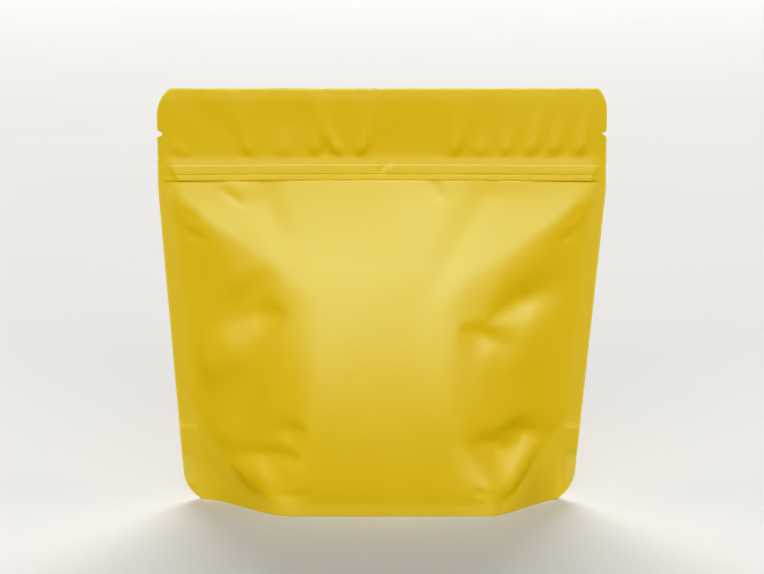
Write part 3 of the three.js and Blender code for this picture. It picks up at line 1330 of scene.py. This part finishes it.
class Shader:
    """A material's node tree, built one node at a time."""

    def __init__(self, name: str) -> None:
        """Make an empty material.

        Args:
            name: Name of the material.
        """
        self.material = bpy.data.materials.new(name)
        self.material.use_nodes = True
        self.tree = self.material.node_tree
        self.tree.nodes.clear()

    def node(
        self,
        kind: str,
        settings: Union[dict[str, Any], None] = None,
        inputs: Union[dict[Union[str, int], Input], None] = None,
        output: Union[str, int] = 0,
    ) -> Value:
        """Add a node.

        Args:
            kind: Type of the node.
            settings: Settings of the node, which are made first.
            inputs: Values or links for its sockets.
            output: Socket that is handed back.

        Returns:
            The chosen output.
        """
        node = self.tree.nodes.new(kind)
        for name, setting in (settings or {}).items():
            setattr(node, name, setting)
        for name, given in (inputs or {}).items():
            if isinstance(given, Value):
                self.tree.links.new(given.socket, node.inputs[name])
            else:
                node.inputs[name].default_value = given
        return Value(self, node.outputs[output] if node.outputs else None)

    def mark(self, mask: Mask) -> Value:
        """Read a mark that the mesh carries."""
        return self.node("ShaderNodeAttribute", {"attribute_name": mask.value}, output="Fac")

    def noise(self, place: Value, pattern: Pattern) -> Value:
        """Soft irregular pattern.

        Args:
            place: Place on the object.
            pattern: Form of the pattern.

        Returns:
            Pattern around a half.
        """
        inputs = {
            "Vector": place,
            "Scale": pattern.scale,
            "Detail": pattern.detail,
            "Roughness": pattern.rough,
        }
        return self.node("ShaderNodeTexNoise", {"noise_dimensions": "3D"}, inputs)

    def mix(self, share: Value, first: Input, second: Input) -> Value:
        """Run one colour into another.

        Args:
            share: Share of the second colour.
            first: Colour at 0.
            second: Colour at 1.

        Returns:
            The mixed colour.
        """
        settings = {"data_type": "RGBA", "blend_type": "MIX"}
        inputs = {"Factor": share, 6: first, 7: second}
        return self.node("ShaderNodeMix", settings, inputs, output=2)


def rgba(colour: Colour) -> tuple[float, float, float, float]:
    """Colour with full cover."""
    return (*colour, 1.0)


@dataclass(frozen=True)
class FilmFinish:
    """Matte soft-touch yellow film with a broad silky sheen.

    Attributes:
        deep: Colour where the film is a little denser.
        light: Colour where it is a little thinner.
        sealed: Paler colour where two layers are sealed together, a painted sheen where the seals would
            catch more light.
        edge: Bright colour of the cut edge, a painted highlight where the rim of the film catches the
            light.
        window: Colour where the windows have one layer less.
        sheen: Colour of the sheen.
        gloss: Index that sets the strength of the sheen.
        roughness: Spread of the sheen.
        cloud: Broad cloudiness of the film.
        grain: Fine grain of its matte coat.
        weave: Unevenness between the two.
        tone_gain: How strongly the clouds change the colour.
        tone_shift: How far they are shifted to the denser colour.
        grain_tone: How strongly the grain changes the colour.
        seal_sheen_cover: Cover of the sealed colour, the painted sheen of the seals.
        window_cover: Cover of the windows' colour.
        edge_highlight_cover: Cover of the painted edge highlight.
        cloud_rough: How strongly the clouds change the roughness.
        grain_rough: How strongly the grain changes it.
        seal_rough: Roughness added on the seals.
        grain_relief: Share of the grain in the relief.
        weave_relief: Share of the unevenness in the relief.
        relief_strength: Strength of the relief.
        relief_height: Height of the relief, in metres.
    """

    deep: Colour = (0.790, 0.517, 0.0015)
    light: Colour = (0.815, 0.540, 0.0030)
    # Painted sheen of the seals
    sealed: Colour = (0.800, 0.535, 0.0110)
    # Painted highlight of the cut edge
    edge: Colour = (0.880, 0.700, 0.060)
    window: Colour = (0.810, 0.580, 0.042)
    sheen: Colour = (0.46, 0.94, 0.74)
    gloss: float = 1.34
    roughness: float = 0.45
    cloud: Pattern = Pattern(scale=38.0, detail=4.0, rough=0.55)
    grain: Pattern = Pattern(scale=2600.0, detail=3.0, rough=0.6)
    weave: Pattern = Pattern(scale=520.0, detail=3.0, rough=0.6)
    tone_gain: float = 1.6
    tone_shift: float = 0.3
    grain_tone: float = 0.5
    seal_sheen_cover: float = 0.9
    window_cover: float = 0.8
    edge_highlight_cover: float = 0.85
    cloud_rough: float = 0.10
    grain_rough: float = 0.12
    seal_rough: float = 0.03
    grain_relief: float = 0.35
    weave_relief: float = 0.65
    relief_strength: float = 0.18
    relief_height: float = 0.00025

    def material(self) -> bpy.types.Material:
        """Build the film's material.

        Returns:
            The material.
        """
        shader = Shader("matte_film")
        place = shader.node("ShaderNodeTexCoord", output="Object")
        cloud = shader.noise(place, self.cloud)
        grain = shader.noise(place, self.grain)
        weave = shader.noise(place, self.weave)
        edge = shader.mark(Mask.EDGE_HIGHLIGHT)
        window = shader.mark(Mask.WINDOW)
        seal = shader.mark(Mask.SEAL)
        tone = (cloud * self.tone_gain - self.tone_shift + (grain - 0.5) * self.grain_tone).clamped()
        colour = shader.mix(tone, rgba(self.deep), rgba(self.light))
        # Painted sheen: the seals take a paler colour where they would catch more light
        colour = shader.mix(seal * self.seal_sheen_cover, colour, rgba(self.sealed))
        colour = shader.mix(window * self.window_cover, colour, rgba(self.window))
        # Painted highlight: the cut edge takes a bright colour where its rim would catch the light
        colour = shader.mix(edge * self.edge_highlight_cover, colour, rgba(self.edge))
        rough = (cloud - 0.5) * self.cloud_rough + (grain - 0.5) * self.grain_rough
        rough = rough + seal * self.seal_rough + self.roughness
        relief = {
            "Height": grain * self.grain_relief + weave * self.weave_relief,
            "Strength": self.relief_strength,
            "Distance": self.relief_height,
        }
        film = {
            "Base Color": colour,
            "Roughness": rough,
            "IOR": self.gloss,
            "Specular Tint": rgba(self.sheen),
            "Normal": shader.node("ShaderNodeBump", None, relief, output="Normal"),
        }
        surface = shader.node("ShaderNodeBsdfPrincipled", {"distribution": "GGX"}, film)
        shader.node("ShaderNodeOutputMaterial", None, {"Surface": surface})
        return shader.material


@dataclass(frozen=True)
class FloorFinish:
    """Plain pale matt board.

    Attributes:
        pale: Main colour.
        shade: Colour of the faint clouds in it.
        cloud: Those clouds.
        roughness: Roughness of the board, which has no sheen.
    """

    pale: Colour = (0.80, 0.79, 0.77)
    shade: Colour = (0.77, 0.76, 0.74)
    cloud: Pattern = Pattern(scale=6.0, detail=3.0, rough=0.5)
    roughness: float = 0.85

    def material(self) -> bpy.types.Material:
        """Build the floor's material.

        Returns:
            The material.
        """
        shader = Shader("floor_board")
        place = shader.node("ShaderNodeTexCoord", output="Object")
        colour = shader.mix(shader.noise(place, self.cloud), rgba(self.pale), rgba(self.shade))
        board = {"Base Color": colour, "Roughness": self.roughness, "Specular IOR Level": 0.0}
        surface = shader.node("ShaderNodeBsdfPrincipled", None, board)
        shader.node("ShaderNodeOutputMaterial", None, {"Surface": surface})
        return shader.material


@dataclass(frozen=True)
class Lamp:
    """A soft box.

    Attributes:
        name: Name of the lamp.
        azimuth: Turn from straight in front to the right, in degrees.
        elevation: Height over the level, in degrees.
        distance: Distance from the pouch, in metres.
        width: Width of the box, in metres.
        height: Height of the box, in metres.
        power: Power, in watts.
        role: What the lamp does.
    """

    name: str
    azimuth: float
    elevation: float
    distance: float
    width: float
    height: float
    power: float
    role: LampRole

    def build(self, target: Vector) -> bpy.types.Object:
        """Hang the lamp so that it faces a place.

        Args:
            target: Place that it faces.

        Returns:
            The lamp.
        """
        data = bpy.data.lights.new(self.name, "AREA")
        data.shape = "RECTANGLE"
        data.size = self.width
        data.size_y = self.height
        data.energy = self.power
        data.cycles.use_multiple_importance_sampling = False
        lamp = bpy.data.objects.new(self.name, data)
        lamp.visible_diffuse = self.role is LampRole.BODY
        lamp.visible_glossy = self.role is LampRole.SHEEN
        away = direction(self.azimuth, self.elevation)
        lamp.location = target + away * self.distance
        lamp.rotation_euler = away.to_track_quat("Z", "Y").to_euler()
        bpy.context.scene.collection.objects.link(lamp)
        return lamp


def direction(azimuth: float, elevation: float) -> Vector:
    """Direction from the pouch to a place around it.

    Args:
        azimuth: Turn from straight in front to the right, in degrees.
        elevation: Height over the level, in degrees.

    Returns:
        Direction of length 1.
    """
    turn = math.radians(azimuth)
    climb = math.radians(elevation)
    level = math.cos(climb)
    return Vector((math.sin(turn) * level, -math.cos(turn) * level, math.sin(climb)))


@dataclass(frozen=True)
class Studio:
    """Floor, light and camera.

    Attributes:
        lamps: Soft boxes.
        ambient: Strength of the even light from all around.
        elevation: Height of the camera over the level, in degrees.
        distance: Distance of the camera, in metres.
        lens: Focal length, in millimetres.
        sensor: Width of the camera's sensor, in millimetres.
        far: Distance up to which the camera sees, in metres.
        aim: Height that the camera looks at, in metres.
        floor_size: Side of the floor, in metres.
    """

    lamps: tuple[Lamp, ...]
    ambient: float = 0.0
    elevation: float = 10.5
    distance: float = 1.4
    lens: float = 146.8
    sensor: float = 36.0
    far: float = 100.0
    aim: float = 0.0979
    floor_size: float = 40.0

    def build_floor(self, finish: FloorFinish) -> bpy.types.Object:
        """Lay the floor.

        Args:
            finish: Finish of the floor.

        Returns:
            The floor.
        """
        half = self.floor_size / 2
        corners = [(-half, -half, 0.0), (half, -half, 0.0), (half, half, 0.0), (-half, half, 0.0)]
        mesh = bpy.data.meshes.new("floor")
        mesh.from_pydata(corners, [], [(0, 1, 2, 3)])
        mesh.materials.append(finish.material())
        floor = bpy.data.objects.new("floor", mesh)
        floor.visible_glossy = False
        floor.visible_diffuse = False
        bpy.context.scene.collection.objects.link(floor)
        return floor

    def build_world(self) -> bpy.types.World:
        """Make the even light from all around.

        Returns:
            The world.
        """
        world = bpy.data.worlds.new("studio")
        world.use_nodes = True
        backdrop = world.node_tree.nodes["Background"]
        backdrop.inputs["Color"].default_value = (1.0, 1.0, 1.0, 1.0)
        backdrop.inputs["Strength"].default_value = self.ambient
        world.cycles_visibility.glossy = False
        bpy.context.scene.world = world
        return world

    def build_camera(self) -> bpy.types.Object:
        """Set the camera at the photo's viewing angle.

        Returns:
            The camera.
        """
        data = bpy.data.cameras.new("camera")
        data.lens = self.lens
        data.sensor_width = self.sensor
        data.clip_end = self.far
        camera = bpy.data.objects.new("camera", data)
        away = direction(0.0, self.elevation)
        camera.location = Vector((0.0, 0.0, self.aim)) + away * self.distance
        camera.rotation_euler = away.to_track_quat("Z", "Y").to_euler()
        bpy.context.scene.collection.objects.link(camera)
        bpy.context.scene.camera = camera
        return camera

    def build(self) -> None:
        """Lay the floor, hang the lamps and set the camera."""
        self.build_floor(FloorFinish())
        self.build_world()
        target = Vector((0.0, 0.0, self.aim))
        for lamp in self.lamps:
            lamp.build(target)
        self.build_camera()
        bpy.context.scene.view_settings.view_transform = "Standard"
        bpy.context.scene.view_settings.look = "None"


# Folds of the front, from the upper cheeks down to the corners of the base
FRONT_CREASES = (
    Crease(tail=(-80.0, 81.0), tip=(-43.0, 89.5), depth=3.0, under=8.0, over=6.0, peak=0.65),
    Crease(tail=(86.0, 104.0), tip=(46.0, 86.0), depth=3.8, under=8.0, over=7.0, peak=0.55),
    Crease(tail=(64.0, 71.5), tip=(34.0, 83.0), depth=2.3, under=6.0, over=4.5, peak=0.6),
    Crease(tail=(-56.0, 34.5), tip=(-32.5, 39.0), depth=2.2, under=5.0, over=4.0, peak=0.6),
    Crease(tail=(-76.0, 21.5), tip=(-36.5, 26.5), depth=4.4, under=6.0, over=4.5, peak=0.6),
    Crease(tail=(80.0, 28.5), tip=(52.0, 36.5), depth=3.6, under=6.0, over=5.0, peak=0.6),
    Crease(tail=(72.0, 22.0), tip=(37.5, 32.5), depth=3.4, under=7.5, over=4.5, peak=0.6),
)
# Hollows of the front, with swellings where the depth is less than zero
FRONT_DENTS = (
    # Left fold at mid height
    Dent(place=(-50.0, 91.0), length=10.0, width=7.0, turn=-32.0, depth=1.1),
    Dent(place=(-73.0, 66.5), length=13.0, width=10.5, turn=38.0, depth=-2.3),
    # Fold at the left of the base
    Dent(place=(-61.0, 15.5), length=10.0, width=6.5, turn=20.0, depth=-1.5),
    Dent(place=(-43.0, 27.5), length=8.0, width=4.5, turn=-20.0, depth=0.8),
    Dent(place=(-44.0, 13.0), length=8.0, width=6.5, turn=90.0, depth=2.0),
    # Pinched ends of the bottom seal
    Dent(place=(-36.0, 9.6), length=5.0, width=2.4, turn=14.0, depth=0.5),
    Dent(place=(46.0, 9.6), length=5.5, width=2.2, turn=-14.0, depth=0.7),
    # Fold at the right of the base
    Dent(place=(45.0, 34.0), length=7.0, width=4.5, turn=-15.0, depth=0.8),
    Dent(place=(57.0, 15.0), length=10.0, width=6.5, turn=50.0, depth=-1.35),
    # Fuller flanks of the belly
    Dent(place=(-30.0, 54.0), length=31.0, width=14.0, turn=90.0, depth=-1.5),
    Dent(place=(28.0, 54.0), length=31.0, width=14.0, turn=90.0, depth=-1.3),
    # Uneven cheeks
    Dent(place=(-61.0, 50.0), length=18.0, width=9.0, turn=80.0, depth=1.6),
    Dent(place=(-59.0, 97.0), length=12.0, width=6.0, turn=42.0, depth=1.6),
    Dent(place=(41.0, 88.0), length=34.0, width=7.0, turn=82.0, depth=0.6),
    Dent(place=(66.0, 77.0), length=16.0, width=8.0, turn=75.0, depth=-1.0),
    # Upper belly and its left shoulder
    Dent(place=(14.0, 115.0), length=22.0, width=12.0, turn=90.0, depth=-1.2),
    Dent(place=(-54.0, 110.0), length=14.0, width=9.0, turn=-40.0, depth=1.0),
    # Uneven film under the closing band
    Dent(place=(-63.0, 144.0), length=10.0, width=5.0, turn=-12.0, depth=-0.6),
    Dent(place=(-67.0, 139.5), length=5.5, width=1.7, turn=-40.0, depth=0.5),
    Dent(place=(55.0, 147.0), length=16.0, width=5.0, turn=0.0, depth=-0.5),
    Dent(place=(24.5, 142.0), length=5.5, width=2.8, turn=-62.0, depth=0.6),
    # Long soft lines down from the band
    Dent(place=(36.0, 122.0), length=27.0, width=6.5, turn=62.0, depth=1.0),
    Dent(place=(17.0, 104.0), length=12.0, width=9.0, turn=70.0, depth=0.35),
    Dent(place=(-50.0, 132.0), length=18.0, width=7.0, turn=-66.0, depth=1.2),
    # Small puckers beside the side seals
    Dent(place=(-86.5, 131.0), length=4.5, width=2.2, turn=-30.0, depth=0.6),
    Dent(place=(-84.0, 122.0), length=5.0, width=2.4, turn=-22.0, depth=0.7),
    Dent(place=(86.0, 131.0), length=5.0, width=2.0, turn=42.0, depth=0.6),
    Dent(place=(84.0, 121.5), length=5.0, width=2.4, turn=22.0, depth=0.6),
)
# Folds of the back
BACK_CREASES = (
    Crease(tail=(82.0, 73.0), tip=(44.0, 88.0), depth=4.2, under=8.5, over=14.0),
    Crease(tail=(-82.0, 105.0), tip=(-43.0, 90.0), depth=4.0, under=8.5, over=12.0),
    Crease(tail=(58.0, 31.0), tip=(36.0, 39.0), depth=2.4, under=5.0, over=6.0),
    Crease(tail=(-72.0, 18.0), tip=(-38.0, 32.0), depth=3.0, under=6.0, over=7.0),
)
# Hollows of the back
BACK_DENTS = (
    Dent(place=(52.0, 140.0), length=8.0, width=4.0, turn=40.0, depth=0.7),
    Dent(place=(-30.0, 128.0), length=22.0, width=6.0, turn=-64.0, depth=0.9),
    Dent(place=(84.0, 124.0), length=5.0, width=2.4, turn=24.0, depth=0.6),
    Dent(place=(-85.0, 127.0), length=5.0, width=2.4, turn=-26.0, depth=0.6),
)
# Fine lines of the lower corners
WRINKLES = (
    Wrinkle(start=(-86.0, 34.0), bend=(-82.0, 26.0), end=(-75.0, 20.0), width=0.9, rise=0.18),
    Wrinkle(start=(-80.0, 27.0), bend=(-77.0, 20.0), end=(-72.0, 12.0), width=0.8, rise=0.20),
    Wrinkle(start=(-76.0, 24.0), bend=(-72.0, 17.0), end=(-67.0, 9.0), width=0.9, rise=0.18),
    Wrinkle(start=(74.0, 27.0), bend=(77.0, 20.0), end=(76.0, 10.0), width=0.9, rise=0.18),
    Wrinkle(start=(70.0, 22.0), bend=(71.0, 15.0), end=(68.0, 8.0), width=0.9, rise=0.16),
)
# Ridges of the flap, from left to right, with the one at the left fin last
PLEATS = (
    Pleat(x=-59.0, width=2.8, fade=13.0, rise=2.3, slant=-0.22),
    Pleat(x=-44.0, width=5.0, fade=5.5, rise=1.7, slant=0.10),
    Pleat(x=-30.0, width=2.4, fade=13.0, rise=2.4, slant=0.08),
    Pleat(x=-19.0, width=2.6, fade=13.0, rise=2.5, slant=-0.42),
    Pleat(x=-10.0, width=2.8, fade=15.0, rise=2.6, slant=0.28),
    Pleat(x=32.0, width=2.8, fade=17.0, rise=2.6, slant=0.22),
    Pleat(x=43.5, width=4.5, fade=5.0, rise=2.0, slant=0.0),
    Pleat(x=55.0, width=2.8, fade=10.0, rise=1.8, slant=0.20),
    Pleat(x=65.5, width=2.6, fade=15.0, rise=2.3, slant=0.28),
    Pleat(x=76.0, width=2.8, fade=14.0, rise=2.2, slant=0.22),
    Pleat(x=87.5, width=2.8, fade=14.0, rise=2.3, slant=0.22),
    Pleat(x=-88.0, width=4.0, fade=3.8, rise=1.6, slant=-0.7),
)
# Broad hollows of the flap
SWELLS = (
    Dent(place=(-42.0, 174.0), length=14.0, width=7.0, turn=0.0, depth=0.5),
    Dent(place=(-75.0, 174.0), length=18.0, width=6.0, turn=-35.0, depth=0.5),
)
# A cut in the upper rib and the bump beside it
NICKS = (
    Dent(place=(0.9, 151.6), length=2.6, width=0.9, turn=62.0, depth=0.5),
    Dent(place=(3.4, 151.2), length=2.2, width=1.2, turn=70.0, depth=-0.35),
)
# Soft boxes
LAMPS = (
    Lamp(
        name="front_box", azimuth=0.0, elevation=18.0, distance=2.5,
        width=4.0, height=1.2, power=69.0, role=LampRole.BODY,
    ),
    Lamp(
        name="left_box", azimuth=-80.0, elevation=14.0, distance=2.5,
        width=1.5, height=2.0, power=21.0, role=LampRole.BODY,
    ),
    Lamp(
        name="right_box", azimuth=80.0, elevation=14.0, distance=2.5,
        width=1.5, height=2.0, power=21.0, role=LampRole.BODY,
    ),
    Lamp(
        name="back_box", azimuth=180.0, elevation=40.0, distance=8.0,
        width=6.0, height=5.0, power=760.0, role=LampRole.BODY,
    ),
    Lamp(
        name="sheen_box", azimuth=8.0, elevation=48.0, distance=5.0,
        width=8.0, height=5.0, power=1800.0, role=LampRole.SHEEN,
    ),
    Lamp(
        name="back_sheen_box", azimuth=188.0, elevation=48.0, distance=5.0,
        width=8.0, height=5.0, power=1500.0, role=LampRole.SHEEN,
    ),
)


def main() -> None:
    """Build the pouch and the studio."""
    logging.basicConfig(level=logging.INFO, format="%(name)s: %(message)s")
    low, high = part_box("pouch")
    size = (high - low) / MM
    outline = Outline(width=size.x, height=size.z)
    front = Panel(outline, FRONT_CREASES, FRONT_DENTS, WRINKLES)
    back = Panel(outline, BACK_CREASES, BACK_DENTS, WRINKLES)
    pouch = Pouch(outline, front, back, Head(PLEATS, SWELLS, NICKS)).build(FilmFinish())
    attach(pouch, "root")
    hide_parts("pouch")
    LOG.info("pouch_film: %d points, %d faces", len(pouch.data.vertices), len(pouch.data.polygons))
    Studio(LAMPS).build()
    LOG.info("studio: floor, %d lamps and camera", len(LAMPS))


if __name__ == "__main__":
    main()
